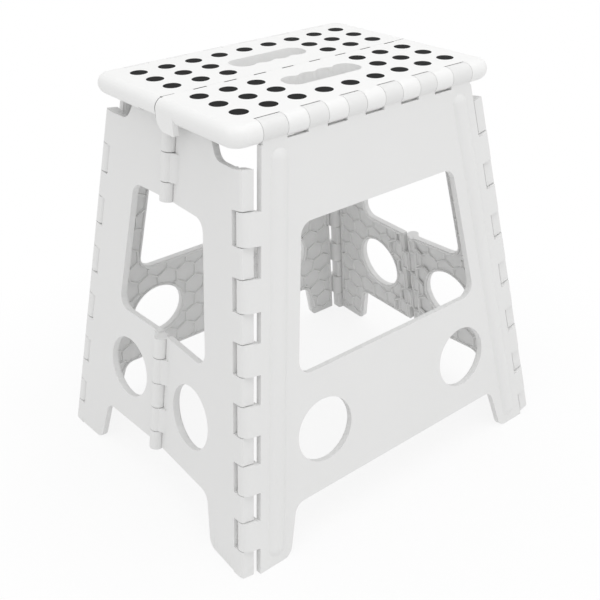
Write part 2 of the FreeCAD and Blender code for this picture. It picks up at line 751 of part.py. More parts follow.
def seat_lobe(label):
    """The stop that hangs beside the seam at the half's left end, round at its seam side."""
    wide, corner = size("lobe_width"), size("lobe_corner")
    left, seam = -size("seat_half_length"), -size("seat_seam") / 2
    bottom = size("seat_height") - size("lobe_drop")
    thick, tall = "sizes.lobe_thickness", "sizes.lobe_drop - sizes.rim_radius"
    quarter = box(f"{label}_lobe_quarter", thick, "sizes.lobe_corner", "sizes.lobe_corner",
                  Vector(left, seam - corner, bottom))
    round_nose = rod(f"{label}_lobe_round", "sizes.lobe_corner", thick,
                     Vector(left, seam - corner, bottom + corner), X_AXIS)
    chin = box(f"{label}_lobe_chin", thick, "sizes.lobe_width - sizes.lobe_corner", tall,
               Vector(left, seam - wide, bottom))
    stem = box(f"{label}_lobe_stem", thick, "sizes.lobe_width", f"{tall} - sizes.lobe_corner",
               Vector(left, seam - wide, bottom + corner))
    return [common(f"{label}_lobe_nose", [quarter, round_nose]), chin, stem]


def lobe_relief(label):
    """The room in the rim at the half's right end for the other half's lobe when the stool is folded."""
    over = size("cut_overshoot")
    bottom = size("seat_height") - 2 * size("rim_radius")
    wide = size("lobe_width") + size("lobe_relief_margin")
    corner = Vector(size("seat_half_length") - size("rim_wall") - over, -wide, bottom - over)
    return box(f"{label}_lobe_relief", "sizes.rim_wall + 2 * sizes.cut_overshoot",
               "sizes.lobe_width + sizes.lobe_relief_margin",
               "sizes.lobe_relief_height + sizes.cut_overshoot", corner)


def centre_lugs(label, loose):
    """The lugs of the half's centre hinge with their webs, and the bore through them.

    Args:
        label: start of the object names.
        loose: True where the lugs have wide eyes, set off from the pin.

    Returns:
        The list of lugs and webs, and the cutter of the bore.
    """
    axis = Vector(0, 0, centre_axis_up)
    lug, eye = "sizes.lug_radius", "sizes.pin_radius + sizes.pin_clearance"
    tall = "sizes.seat_height - worked.centre_axis_up - sizes.seat_plate / 2"
    if loose:
        axis += Vector(0, -size("eye_offset"), size("eye_offset"))
        lug, eye = "sizes.eye_radius + sizes.eye_wall", "sizes.eye_radius"
        tall += " - sizes.eye_offset"
    pieces = []
    for index, start in enumerate(lug_starts(0)):
        base = axis + Vector(start, 0, 0)
        pieces.append(rod(f"{label}_lug_{index}", lug, "sizes.lug_width", base, X_AXIS))
        corner = Vector(start, base.y - size("lug_web"), base.z)
        pieces.append(box(f"{label}_lug_web_{index}", "sizes.lug_width",
                          "sizes.lug_web - sizes.seat_seam", tall, corner))
    bore = rod(f"{label}_eye", eye, "2 * worked.lug_reach", axis - Vector(lug_reach, 0, 0), X_AXIS)
    return pieces, bore


def hand_slot(label):
    """The walls round the half's hand slot, and the cutters of the slot and its finger hollows."""
    half, wall = size("slot_half_length"), size("slot_wall")
    bottom = size("seat_height") - size("slot_depth")
    walls = box(f"{label}_slot_wall", "2 * (sizes.slot_half_length + sizes.slot_wall)",
                "sizes.slot_outer - sizes.slot_inner + 2 * sizes.slot_wall + sizes.finger_depth",
                "sizes.slot_depth", Vector(-half - wall, -size("slot_outer") - wall, bottom))
    through = "sizes.slot_depth + 2 * sizes.cut_overshoot"
    start = bottom - size("cut_overshoot")
    end_radius = "(sizes.slot_outer - sizes.slot_inner) / 2"
    straight = half - number(end_radius)
    middle = -(size("slot_outer") + size("slot_inner")) / 2
    cutters = [box(f"{label}_slot", f"2 * (sizes.slot_half_length - {end_radius})",
                   "sizes.slot_outer - sizes.slot_inner", through,
                   Vector(-straight, -size("slot_outer"), start))]
    for side, across in (("left", -straight), ("right", straight)):
        centre = Vector(across, middle, start)
        cutters.append(rod(f"{label}_slot_{side}", end_radius, through, centre, Z_AXIS))
    reach = half - wall
    pitch = 2 * reach / count("finger_count")
    back = size("slot_inner") + size("finger_radius") - size("finger_depth")
    for index in range(count("finger_count")):
        base = Vector((index + 0.5) * pitch - reach, -back, start)
        cutters.append(rod(f"{label}_finger_{index}", "sizes.finger_radius", through, base, Z_AXIS))
    return walls, cutters


def seam_notches(label):
    """The cutters of the short notches along the seam, over the lugs and one place past them each way."""
    deep = "sizes.notch_depth + sizes.cut_overshoot"
    floor = size("seat_height") - size("notch_depth")
    cutters = []
    for index, start in enumerate(lug_starts(1)):
        corner = Vector(start, -size("notch_width"), floor)
        cutters.append(box(f"{label}_seam_notch_{index}", "sizes.lug_width", "sizes.notch_width",
                           deep, corner))
    return cutters


def make_seat_half(label, loose, placement):
    """One seat half, drawn as the front one, with its lobe at the left end.

    Args:
        label: the sub-part's name.
        loose: True for the half whose centre lugs have wide eyes; the other one has the seam's notches.
        placement: where the finished half lies.
    """
    lugs, bore = centre_lugs(label, loose)
    walls, cutters = hand_slot(label)
    pieces = [seat_block(label), walls] + lugs + seat_lobe(label)
    cutters += [bore, lobe_relief(label)]
    if not loose:
        cutters += seam_notches(label)
    hinge_axis = Vector(0, -seat_axis_out, seat_axis_up)
    for index, (start, length) in enumerate(leg_hinge_spans()):
        base = hinge_axis + Vector(start, 0, 0)
        cutters.append(rod(f"{label}_notch_{index}", "sizes.rim_radius + sizes.edge_gap / 2", length,
                           base, X_AXIS))
    cutters.append(seat_hinge_bore(f"{label}_hinge_bore", hinge_axis))
    for index, (across, back) in enumerate(dot_places()):
        base = Vector(across, back, size("seat_height") - size("dot_depth"))
        cutters.append(rod(f"{label}_dot_seat_{index}", "sizes.dot_radius + sizes.pin_clearance",
                           "sizes.dot_depth + sizes.cut_overshoot", base, Z_AXIS))
    half = cut(label, fuse(f"{label}_joined", pieces), cutters)
    half.Label = label
    half.Placement = placement
    return half


def make_dots(label, placement):
    """The inlaid grip discs of one seat half."""
    discs = []
    for index, (across, back) in enumerate(dot_places()):
        base = Vector(across, back, size("seat_height") - size("dot_depth"))
        discs.append(rod(f"{label}_{index}", "sizes.dot_radius", "sizes.dot_depth", base, Z_AXIS))
    item = doc.addObject("Part::Compound", label)
    item.Links = discs
    item.Label = label
    item.Placement = placement
    return item


def make_pin(label, length, start, direction, placement):
    """A steel hinge pin, drawn where the front left one lies and then placed."""
    pin = rod(label, "sizes.pin_radius", length, start, direction)
    pin.Placement = placement.multiply(pin.Placement)
    pin.Label = label
    return pin


STAY = Placement()
pieces = []
pieces.append(make_leg("front_leg_panel", leg_frame))
pieces.append(make_leg("rear_leg_panel", TURN.multiply(leg_frame)))
pieces.append(make_end_half("left_end_front_panel", True, "pin_clearance", end_front_frame, end_front_frame))
pieces.append(make_end_half("left_end_rear_panel", False, "pin_clearance", end_rear_frame, end_rear_frame))
turned_front = TURN.multiply(end_front_frame)
turned_rear = TURN.multiply(end_rear_frame)
pieces.append(make_end_half("right_end_rear_panel", True, "loose_clearance", end_front_frame, turned_front))
pieces.append(make_end_half("right_end_front_panel", False, "pin_clearance", end_rear_frame, turned_rear))
pieces.append(make_seat_half("front_seat_panel", False, STAY))
pieces.append(make_seat_half("rear_seat_panel", True, TURN))
pieces.append(make_dots("front_grip_dots", STAY))
pieces.append(make_dots("rear_grip_dots", TURN))

pin_length = "2 * (worked.hinge_half_length - sizes.seat_hinge_pin_inset) - sizes.knuckle_gap"
pin_half = hinge_half - size("seat_hinge_pin_inset") - size("knuckle_gap") / 2
pin_start = Vector(-pin_half, -seat_axis_out, seat_axis_up)
pieces.append(make_pin("front_seat_pin", pin_length, pin_start, X_AXIS, STAY))
pieces.append(make_pin("rear_seat_pin", pin_length, pin_start, X_AXIS, TURN))
centre_start = Vector(-lug_reach, 0, centre_axis_up)
pieces.append(make_pin("seat_center_pin", "2 * worked.lug_reach", centre_start, X_AXIS, STAY))

corner_pin_length = "worked.corner_length - 2 * sizes.corner_pin_inset - sizes.knuckle_gap"
corner_pin_low = size("corner_pin_inset") + size("knuckle_gap") / 2
for name, flip, placement in (("front_left", 1, STAY), ("rear_left", -1, STAY),
                              ("rear_right", 1, TURN), ("front_right", -1, TURN)):
    foot = Vector(corner_axis_foot.x, corner_axis_foot.y * flip, corner_axis_foot.z)
    up = Vector(corner_up.x, corner_up.y * flip, corner_up.z)
    low = foot + up * corner_pin_low
    pieces.append(make_pin(f"{name}_corner_pin", corner_pin_length, low, up, placement))

middle_foot = end_front_frame.multVec(Vector(middle_axis_local.x, 0, middle_axis_local.z))
for side, placement in (("left", STAY), ("right", TURN)):
    for level, (start, length) in zip(("lower", "upper"), middle_pin_ends()):
        low = middle_foot + middle_up * (start + size("knuckle_gap") / 2)
        short = f"{length} - sizes.knuckle_gap"
        pieces.append(make_pin(f"{side}_{level}_end_pin", short, low, middle_up, placement))

doc.recompute()
for item in doc.Objects:
    if "Invalid" in item.State or "Error" in item.State:
        raise RuntimeError(f"{item.Name} failed: {item.State}")
for item in pieces:
    if item.Shape.isNull() or not item.Shape.isValid():
        raise RuntimeError(f"{item.Label} has no valid shape")

os.makedirs("parts", exist_ok=True)
for item in pieces:
    item.Shape.exportStep(f"parts/{item.Label}.step")
    print(item.Label, len(item.Shape.Solids), round(item.Shape.Volume / 1000, 1))
print("centre axis", round(centre_axis_up, 3), "leg lean", round(math.degrees(leg_lean), 3),
      "end lean", round(math.degrees(end_lean), 3))
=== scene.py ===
"""Dresses the folding stool: rounded mouldings, honeycomb ribs, moulded finishes, studio and camera.

Sizes are written in millimetres, as in the part's source, and turned into metres where a mesh is made.
"""
import json
import logging
import math
from dataclasses import dataclass, field
from enum import Enum
from typing import Callable, Iterator, Optional, Union

import bmesh
import bpy
from mathutils import Matrix, Vector


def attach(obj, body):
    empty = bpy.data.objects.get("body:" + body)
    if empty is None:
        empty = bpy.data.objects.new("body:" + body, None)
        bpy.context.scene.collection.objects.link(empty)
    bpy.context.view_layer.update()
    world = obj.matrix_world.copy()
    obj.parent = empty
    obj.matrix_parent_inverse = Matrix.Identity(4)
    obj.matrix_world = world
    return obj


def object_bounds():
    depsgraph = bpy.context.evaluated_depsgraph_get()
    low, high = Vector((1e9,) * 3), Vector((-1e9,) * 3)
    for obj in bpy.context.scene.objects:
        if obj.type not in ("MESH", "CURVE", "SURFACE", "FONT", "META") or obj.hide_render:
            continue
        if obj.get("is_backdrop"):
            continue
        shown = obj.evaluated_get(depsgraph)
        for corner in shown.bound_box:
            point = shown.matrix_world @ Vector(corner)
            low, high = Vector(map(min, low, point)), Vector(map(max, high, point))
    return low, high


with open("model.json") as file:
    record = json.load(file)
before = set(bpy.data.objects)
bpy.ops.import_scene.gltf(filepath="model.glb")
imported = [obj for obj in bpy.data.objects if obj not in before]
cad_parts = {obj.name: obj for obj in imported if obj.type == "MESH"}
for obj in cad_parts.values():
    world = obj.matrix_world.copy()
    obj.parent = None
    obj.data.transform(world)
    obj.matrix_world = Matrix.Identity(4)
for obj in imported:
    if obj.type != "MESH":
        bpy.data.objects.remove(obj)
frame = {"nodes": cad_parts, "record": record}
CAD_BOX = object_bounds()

log = logging.getLogger("folding_stool")

MM = 0.001
WHITE = (1.0, 1.0, 1.0)

Number = Union[float, "Shade"]
Clear = Callable[[float, float], bool]


class Slot(Enum):
    """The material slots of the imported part."""

    PANEL = "panel_plastic"
    SEAT = "seat_plastic"
    GRIP = "grip_black"
    PIN = "pin_steel"


class Half(Enum):
    """Which half of the stool a piece belongs to, as the turn about the upright axis that places it."""

    FRONT = 0.0
    REAR = math.pi

    def turn(self) -> Matrix:
        """The turn that carries a front piece to this half."""
        return Matrix.Rotation(self.value, 4, "Z")


class Shade:
    """One output in a finish's node tree; arithmetic on it adds Math nodes."""

    def __init__(self, tree: "NodeBoard", socket: bpy.types.NodeSocket) -> None:
        """Wraps a socket.

        Args:
            tree: the tree that holds the socket.
            socket: the output itself.
        """
        self.tree = tree
        self.socket = socket

    def _math(self, operation: str, first: Number, second: Number) -> "Shade":
        """A Math node on two values.

        Args:
            operation: Blender's name of the operation.
            first: the first value.
            second: the second value.

        Returns:
            The node's output.
        """
        return self.tree.node("ShaderNodeMath", {"operation": operation}, {0: first, 1: second})

    def __add__(self, other: Number) -> "Shade":
        """self + other."""
        return self._math("ADD", self, other)

    def __radd__(self, other: Number) -> "Shade":
        """other + self."""
        return self._math("ADD", other, self)

    def __sub__(self, other: Number) -> "Shade":
        """self - other."""
        return self._math("SUBTRACT", self, other)

    def __rsub__(self, other: Number) -> "Shade":
        """other - self."""
        return self._math("SUBTRACT", other, self)

    def __mul__(self, other: Number) -> "Shade":
        """self * other."""
        return self._math("MULTIPLY", self, other)

    def __rmul__(self, other: Number) -> "Shade":
        """other * self."""
        return self._math("MULTIPLY", other, self)


class NodeBoard:
    """A node tree that nodes are added to and linked in.

    A Mix node has a set of sockets for each kind of value; the numbers are those of its colours.
    """

    mix_factor = 0
    mix_first = 6
    mix_second = 7
    mix_result = 2

    def __init__(self, tree: bpy.types.NodeTree) -> None:
        """Takes over a tree.

        Args:
            tree: the tree of a material or a world, with its first nodes.
        """
        self.nodes = tree.nodes
        self.links = tree.links

    def first(self, kind: str) -> bpy.types.Node:
        """The node of a kind that the tree had from the start."""
        return next(node for node in self.nodes if node.type == kind)

    def node(self, kind: str, settings: dict, inputs: dict, output: Union[int, str] = 0) -> Shade:
        """Adds any node.

        Args:
            kind: Blender's type name of the node.
            settings: its properties, set first; "stops" are a colour ramp's (place, grey level) pairs.
            inputs: values or links of its sockets, by name or number.
            output: which output to return.

        Returns:
            The chosen output.
        """
        node = self.nodes.new(kind)
        for key, value in settings.items():
            if key == "stops":
                self._set_stops(node.color_ramp, value)
            else:
                setattr(node, key, value)
        for key, value in inputs.items():
            self.feed(node.inputs[key], value)
        return Shade(self, node.outputs[output])

    @staticmethod
    def _set_stops(ramp: bpy.types.ColorRamp, stops: tuple[tuple[float, float], ...]) -> None:
        """Gives a ramp its stops.

        Args:
            ramp: the ramp, which has two stops to begin with.
            stops: (place, grey level) of each stop.
        """
        while len(ramp.elements) < len(stops):
            ramp.elements.new(0.5)
        for element, (place, level) in zip(ramp.elements, stops):
            element.position = place
            element.color = (level, level, level, 1.0)

    def feed(self, socket: bpy.types.NodeSocket, value: object) -> None:
        """Links or sets one input.

        Args:
            socket: the input.
            value: an output to link, or a plain value.
        """
        if isinstance(value, Shade):
            self.links.new(value.socket, socket)
        else:
            socket.default_value = value

    def mix(self, factor: Number, first: object, second: object) -> Shade:
        """A colour between two others.

        Args:
            factor: 0 for the first colour, 1 for the second.
            first: a colour or a link.
            second: a colour or a link.

        Returns:
            The mixed colour.
        """
        inputs = {self.mix_factor: factor, self.mix_first: first, self.mix_second: second}
        return self.node("ShaderNodeMix", {"data_type": "RGBA"}, inputs, self.mix_result)


class FinishTree(NodeBoard):
    """The node tree of one material, with its Principled shader."""

    def __init__(self, name: str) -> None:
        """Starts a material.

        Args:
            name: the material's name.
        """
        self.material = bpy.data.materials.new(name)
        self.material.use_nodes = True
        super().__init__(self.material.node_tree)
        self.shader = self.first("BSDF_PRINCIPLED")

    def shade(self, **inputs: object) -> None:
        """Feeds the Principled shader's sockets, named with underscores for spaces."""
        for key, value in inputs.items():
            self.feed(self.shader.inputs[key.replace("_", " ")], value)


def opaque(color: tuple[float, float, float]) -> tuple[float, float, float, float]:
    """The colour with full cover."""
    return (*color, 1.0)


@dataclass(frozen=True)
class PaintedSeamShade:
    """Painted shade in the notches of the seat's seam, and a painted shade line along the seam near the rim,
    in millimetres.
    """

    top: float
    pitch: float = 31.7
    first: float = 23.775
    length: float = 13.5
    width: float = 1.6
    depth: float = 3.0
    lip: float = 0.1
    rim: float = 128.0
    line: float = 1.0
    # The dark grey of the painted shade in the notches and on the line.
    color: tuple[float, float, float] = (0.2, 0.2, 0.198)

    def dust(self, tree: FinishTree, place: Shade) -> Shade:
        """How much painted shade lies at a place.

        Args:
            tree: the finish's node tree.
            place: the place on the piece.

        Returns:
            0 where nothing is painted, 1 on a notch wall or on the line, which take the painted shade.
        """
        def test(operation: str, value: Shade, limit: float) -> Shade:
            """Compares a value with a limit in millimetres."""
            return tree.node("ShaderNodeMath", {"operation": operation}, {0: value, 1: limit * MM})

        along, across, height = (tree.node("ShaderNodeSeparateXYZ", {}, {"Vector": place}, axis)
                                 for axis in ("X", "Y", "Z"))
        aside, out = (tree.node("ShaderNodeMath", {"operation": "ABSOLUTE"}, {0: value})
                      for value in (across, along))
        phase = test("PINGPONG", along - self.first * MM, self.pitch / 2)
        # Painted shade on the notch walls, just below the seat's top.
        notch_shade = (test("LESS_THAN", phase, self.length / 2) * test("LESS_THAN", aside, self.width)
                 * test("GREATER_THAN", height, self.top - self.depth)
                 * test("LESS_THAN", height, self.top - self.lip))
        # Painted shade in a thin line along the seam near the rim, where the halves meet.
        line = test("GREATER_THAN", out, self.rim) * test("LESS_THAN", aside, self.line / 2)
        return notch_shade + line


@dataclass(frozen=True)
class MouldedPlastic:
    """Satin moulded plastic: a spark-eroded grain, flow clouds, wear near the floor and painted shade in the
    seam.
    """

    name: str
    color: tuple[float, float, float]
    cloud_color: tuple[float, float, float]
    scuff_color: tuple[float, float, float]
    roughness: float
    grain_scale: float
    grain_depth: float
    scuff_height: float
    # Settings of the painted shade in the seam, if the piece has one.
    seam: Optional[PaintedSeamShade] = None
    cloud_scale: float = 9.0
    cloud_detail: float = 4.0
    cloud_roughness: float = 0.12
    scuff_weight: float = 0.25
    scuff_roughness: float = 0.1
    scratch_turn: tuple[float, float, float] = (0.4, 0.2, 0.6)
    scratch_scale: tuple[float, float, float] = (30.0, 400.0, 60.0)
    scratch_detail: float = 2.0
    scratch_stops: tuple[tuple[float, float], ...] = ((0.60, 0.0), (0.72, 1.0))
    grain_detail: float = 3.0
    grain_roughness: float = 0.6
    grain_strength: float = 0.35
    ior: float = 1.49
    gloss: float = 0.42

    def material(self) -> bpy.types.Material:
        """Builds the finish."""
        tree = FinishTree(self.name)
        place = tree.node("ShaderNodeTexCoord", {}, {}, "Object")
        cloud = tree.node("ShaderNodeTexNoise", {},
                          {"Vector": place, "Scale": self.cloud_scale, "Detail": self.cloud_detail})
        grain = tree.node("ShaderNodeTexNoise", {},
                          {"Vector": place, "Scale": self.grain_scale, "Detail": self.grain_detail,
                           "Roughness": self.grain_roughness})
        scratch_place = tree.node("ShaderNodeMapping", {},
                                  {"Vector": place, "Rotation": self.scratch_turn,
                                   "Scale": self.scratch_scale})
        scratch = tree.node("ShaderNodeTexNoise", {},
                            {"Vector": scratch_place, "Scale": 1.0, "Detail": self.scratch_detail})
        height = tree.node("ShaderNodeSeparateXYZ", {}, {"Vector": place}, "Z")
        near_floor = tree.node("ShaderNodeMapRange", {"clamp": True},
                               {"Value": height, "From Min": 0.0, "From Max": self.scuff_height * MM,
                                "To Min": 1.0, "To Max": 0.0})
        scratches = tree.node("ShaderNodeValToRGB", {"stops": self.scratch_stops}, {"Fac": scratch})
        wear = near_floor * scratches
        clouded = tree.mix(cloud, opaque(self.color), opaque(self.cloud_color))
        color = tree.mix(wear * self.scuff_weight, clouded, opaque(self.scuff_color))
        # Painted shade: the seam's notch walls and its line near the rim are mixed towards dark grey.
        if self.seam:
            color = tree.mix(self.seam.dust(tree, place), color, opaque(self.seam.color))
        rough = self.roughness + (cloud - 0.5) * self.cloud_roughness + wear * self.scuff_roughness
        bump = tree.node("ShaderNodeBump", {}, {"Height": grain, "Strength": self.grain_strength,
                                                "Distance": self.grain_depth * MM})
        tree.shade(Base_Color=color, Roughness=rough, Normal=bump, IOR=self.ior,
                   Specular_IOR_Level=self.gloss)
        return tree.material


@dataclass(frozen=True)
class GripDot:
    """Matt black grip disc: a fine pebble and a trace of dust."""

    name: str
    color: tuple[float, float, float]
    dust_color: tuple[float, float, float]
    roughness: float
    pebble_scale: float = 1500.0
    pebble_smoothness: float = 0.6
    pebble_strength: float = 0.3
    pebble_depth: float = 0.2
    dust_scale: float = 90.0
    dust_detail: float = 5.0
    dust_stops: tuple[tuple[float, float], ...] = ((0.52, 0.0), (0.80, 1.0))
    dust_weight: float = 0.4
    dust_roughness: float = 0.15
    gloss: float = 0.12

    def material(self) -> bpy.types.Material:
        """Builds the finish."""
        tree = FinishTree(self.name)
        place = tree.node("ShaderNodeTexCoord", {}, {}, "Object")
        pebble = tree.node("ShaderNodeTexVoronoi", {"feature": "SMOOTH_F1"},
                           {"Vector": place, "Scale": self.pebble_scale,
                            "Smoothness": self.pebble_smoothness}, "Distance")
        dust = tree.node("ShaderNodeTexNoise", {},
                         {"Vector": place, "Scale": self.dust_scale, "Detail": self.dust_detail})
        dusty = tree.node("ShaderNodeValToRGB", {"stops": self.dust_stops}, {"Fac": dust})
        color = tree.mix(dusty * self.dust_weight, opaque(self.color), opaque(self.dust_color))
        bump = tree.node("ShaderNodeBump", {}, {"Height": pebble, "Strength": self.pebble_strength,
                                                "Distance": self.pebble_depth * MM})
        rough = self.roughness + dusty * self.dust_roughness
        tree.shade(Base_Color=color, Roughness=rough, Normal=bump, Specular_IOR_Level=self.gloss)
        return tree.material


@dataclass(frozen=True)
class PinSteel:
    """Drawn steel wire: bright, with fine rings and a little tarnish."""

    name: str
    color: tuple[float, float, float]
    tarnish_color: tuple[float, float, float]
    roughness: float = 0.28
    draw_roughness: float = 0.2
    draw_scale: float = 700.0
    draw_detail: float = 4.0
    draw_strength: float = 0.2
    draw_depth: float = 0.05
    tarnish_scale: float = 60.0
    tarnish_detail: float = 3.0
    tarnish_weight: float = 0.6

    def material(self) -> bpy.types.Material:
        """Builds the finish."""
        tree = FinishTree(self.name)
        place = tree.node("ShaderNodeTexCoord", {}, {}, "Object")
        draw = tree.node("ShaderNodeTexNoise", {},
                         {"Vector": place, "Scale": self.draw_scale, "Detail": self.draw_detail})
        tarnish = tree.node("ShaderNodeTexNoise", {},
                            {"Vector": place, "Scale": self.tarnish_scale, "Detail": self.tarnish_detail})
        color = tree.mix(tarnish * self.tarnish_weight, opaque(self.color), opaque(self.tarnish_color))
        bump = tree.node("ShaderNodeBump", {}, {"Height": draw, "Strength": self.draw_strength,
                                                "Distance": self.draw_depth * MM})
        rough = self.roughness + draw * self.draw_roughness
        tree.shade(Base_Color=color, Roughness=rough, Metallic=1.0, Normal=bump)
        return tree.material


@dataclass(frozen=True)
class Plan:
    """The stool's driving sizes, in millimetres and degrees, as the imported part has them."""

    seat_height: float = 390.0
    base_half_length: float = 198.3
    base_half_width: float = 161.9
    end_bow: float = 8.1
    leg_lean: float = 8.33
    end_lean: float = 9.419
    panel: float = 6.0
    knuckle_room: float = 17.1

    def corner_foot(self) -> Vector:
        """The front left corner on the floor."""
        return Vector((-self.base_half_length, -self.base_half_width, 0.0))

    def corner_up(self) -> Vector:
        """The direction of the front left corner, up from the floor."""
        run = math.tan(math.radians(self.end_lean))
        lean = math.tan(math.radians(self.leg_lean))
        return Vector((run, lean, 1.0)).normalized()

    def leg_frame(self) -> Matrix:
        """The front leg's own frame: x across, y up the panel, z outward."""
        turn = Matrix.Rotation(math.radians(90.0 - self.leg_lean), 4, "X")
        return Matrix.Translation((0.0, -self.base_half_width, 0.0)) @ turn

    def end_frame(self, rear: bool) -> Matrix:
        """The frame of a left end half.

        Args:
            rear: True for the rear half, whose face turns the other way.

        Returns:
            x towards the front, y up the middle line, z outward.
        """
        out = self.corner_up().cross(Vector((self.end_bow, self.base_half_width, 0.0))).normalized()
        up = Vector((-out.z, 0.0, out.x)).normalized()
        if up.z < 0:
            up.negate()
        if rear:
            out.y = -out.y
        across = up.cross(out)
        origin = Vector((self.end_bow - self.base_half_length, 0.0, 0.0))
        columns = Matrix((across, up, out)).transposed().to_4x4()
        return Matrix.Translation(origin) @ columns

    def side_line(self, panel: Matrix) -> tuple[float, float]:
        """A panel's straight side beside its corner knuckles.

        Args:
            panel: the panel's frame.

        Returns:
            Half width at the floor, and how much it shrinks for each millimetre up the panel.
        """
        foot = panel.inverted() @ self.corner_foot()
        up = panel.inverted().to_3x3() @ self.corner_up()
        return abs(foot.x) - self.knuckle_room, abs(up.x) / up.y


def rounded(corners: list[Vector], radius: float, steps: int = 5) -> list[Vector]:
    """An open line of straight runs with an arc in place of each inner corner.

    Args:
        corners: the ends and corners of the line, in the panel's plane.
        radius: the arcs' radius.
        steps: how many straight pieces stand for an arc.

    Returns:
        The line's points.
    """
    spots = [corners[0]]
    for before, corner, after in zip(corners, corners[1:], corners[2:]):
        back, on = (before - corner).normalized(), (after - corner).normalized()
        half = back.angle(on) / 2
        centre = corner + (back + on).normalized() * (radius / math.sin(half))
        first = corner + back * (radius / math.tan(half)) - centre
        last = corner + on * (radius / math.tan(half)) - centre
        spots += [centre + radius * first.slerp(last, step / steps).normalized() for step in range(steps + 1)]
    return spots + [corners[-1]]


def ring(centre: tuple[float, float], radius: float, steps: int = 40) -> list[Vector]:
    """A closed circle of points, with the first one again at the end."""
    turns = [2.0 * math.pi * step / steps for step in range(steps + 1)]
    return [Vector(centre) + radius * Vector((math.cos(turn), math.sin(turn))) for turn in turns]


@dataclass
class Honeycomb:
    """Thin moulded ribs in hexagons on the hidden face of a panel."""

    cell: float
    foot: float
    crest: float
    height: float
    steps: int = 10
    sunk: float = 0.3

    def lines(self, across: tuple[float, float], up: tuple[float, float]) -> Iterator[tuple[Vector, Vector]]:
        """The walls of the hexagons over a rectangle.

        Args:
            across: lowest and highest place across.
            up: lowest and highest place up.

        Yields:
            The two ends of each wall.
        """
        side = self.cell / math.sqrt(3.0)
        pitch = 1.5 * side
        rows = int((up[1] - up[0]) / pitch) + 2
        columns = int((across[1] - across[0]) / self.cell) + 2
        for row in range(-1, rows):
            for column in range(-1, columns):
                shift = (column + 0.5 * (row % 2)) * self.cell
                middle = Vector((across[0] + shift, up[0] + row * pitch))
                spots = [middle + side * Vector((math.cos(angle), math.sin(angle)))
                         for angle in (math.radians(60.0 * corner - 30.0) for corner in range(4))]
                yield from zip(spots, spots[1:])

    def runs(self, line: tuple[Vector, Vector], clear: Clear) -> Iterator[tuple[Vector, Vector]]:
        """The stretches of a wall that lie on clear ground.

        Args:
            line: the two ends of the wall.
            clear: tells whether a place is free for a rib.

        Yields:
            The two ends of each stretch.
        """
        first, last = line
        start = None
        for step in range(self.steps + 1):
            spot = first.lerp(last, step / self.steps)
            if clear(spot.x, spot.y):
                start = spot if start is None else start
                end = spot
            if start is not None and (step == self.steps or not clear(spot.x, spot.y)):
                if (end - start).length > self.foot:
                    yield start, end
                start = None

    def build(self, name: str, panel: Matrix, face: float, clear: Clear, across: tuple[float, float],
              up: tuple[float, float], borders: list[list[Vector]]) -> bpy.types.Object:
        """Raises the ribs on a panel's hidden face.

        Args:
            name: the piece's name.
            panel: the panel's frame, in millimetres.
            face: how deep below the panel's outer face the ribs stand.
            clear: tells whether a place is free for a rib.
            across: lowest and highest place across.
            up: lowest and highest place up.
            borders: the lines of the ribs along edges and round openings.

        Returns:
            The piece.
        """
        mesh = bmesh.new()
        to_metres = Matrix.Scale(MM, 4) @ panel
        for line in self.lines(across, up):
            for start, end in self.runs(line, clear):
                self._rib(mesh, to_metres, face, start, end)
        for border in borders:
            for start, end in zip(border, border[1:]):
                self._rib(mesh, to_metres, face, start, end)
        bmesh.ops.recalc_face_normals(mesh, faces=mesh.faces)
        return new_piece(name, mesh)

    def _rib(self, mesh: bmesh.types.BMesh, place: Matrix, face: float, start: Vector, end: Vector) -> None:
        """One rib: a bar with sloped sides, sunk a little in the panel.

        Args:
            mesh: gets the rib.
            place: from the panel's millimetres to the stool's metres.
            face: depth of the face it stands on.
            start: one end.
            end: the other end.
        """
        side = (end - start).orthogonal().normalized()
        loops = []
        for spot in (start, end):
            loop = []
            for offset, depth in ((self.foot, self.sunk - face), (self.crest, -face - self.height),
                                  (-self.crest, -face - self.height), (-self.foot, self.sunk - face)):
                flat = spot + side * (offset / 2)
                loop.append(mesh.verts.new(place @ Vector((flat.x, flat.y, depth))))
            loops.append(loop)
        for index in range(4):
            following = (index + 1) % 4
            mesh.faces.new((loops[0][index], loops[0][following], loops[1][following], loops[1][index]))
        for loop in loops:
            mesh.faces.new(loop)


def new_piece(name: str, mesh: bmesh.types.BMesh) -> bpy.types.Object:
    """A new object from a finished mesh.

    Args:
        name: the piece's name.
        mesh: the mesh in metres, which is freed.

    Returns:
        The object, linked to the scene.
    """
    data = bpy.data.meshes.new(name)
    mesh.to_mesh(data)
    mesh.free()
    piece = bpy.data.objects.new(name, data)
    bpy.context.scene.collection.objects.link(piece)
    return piece


def finish_piece(piece: bpy.types.Object, body: str, slot: Slot, material: bpy.types.Material) -> None:
    """Gives a new piece its body and its finish.

    Args:
        piece: the piece.
        body: the body that it moves with.
        slot: not used.
        material: the finish.
    """
    piece.data.materials.append(material)
    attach(piece, body)
    log.info("%s: %d faces, on %s", piece.name, len(piece.data.polygons), body)


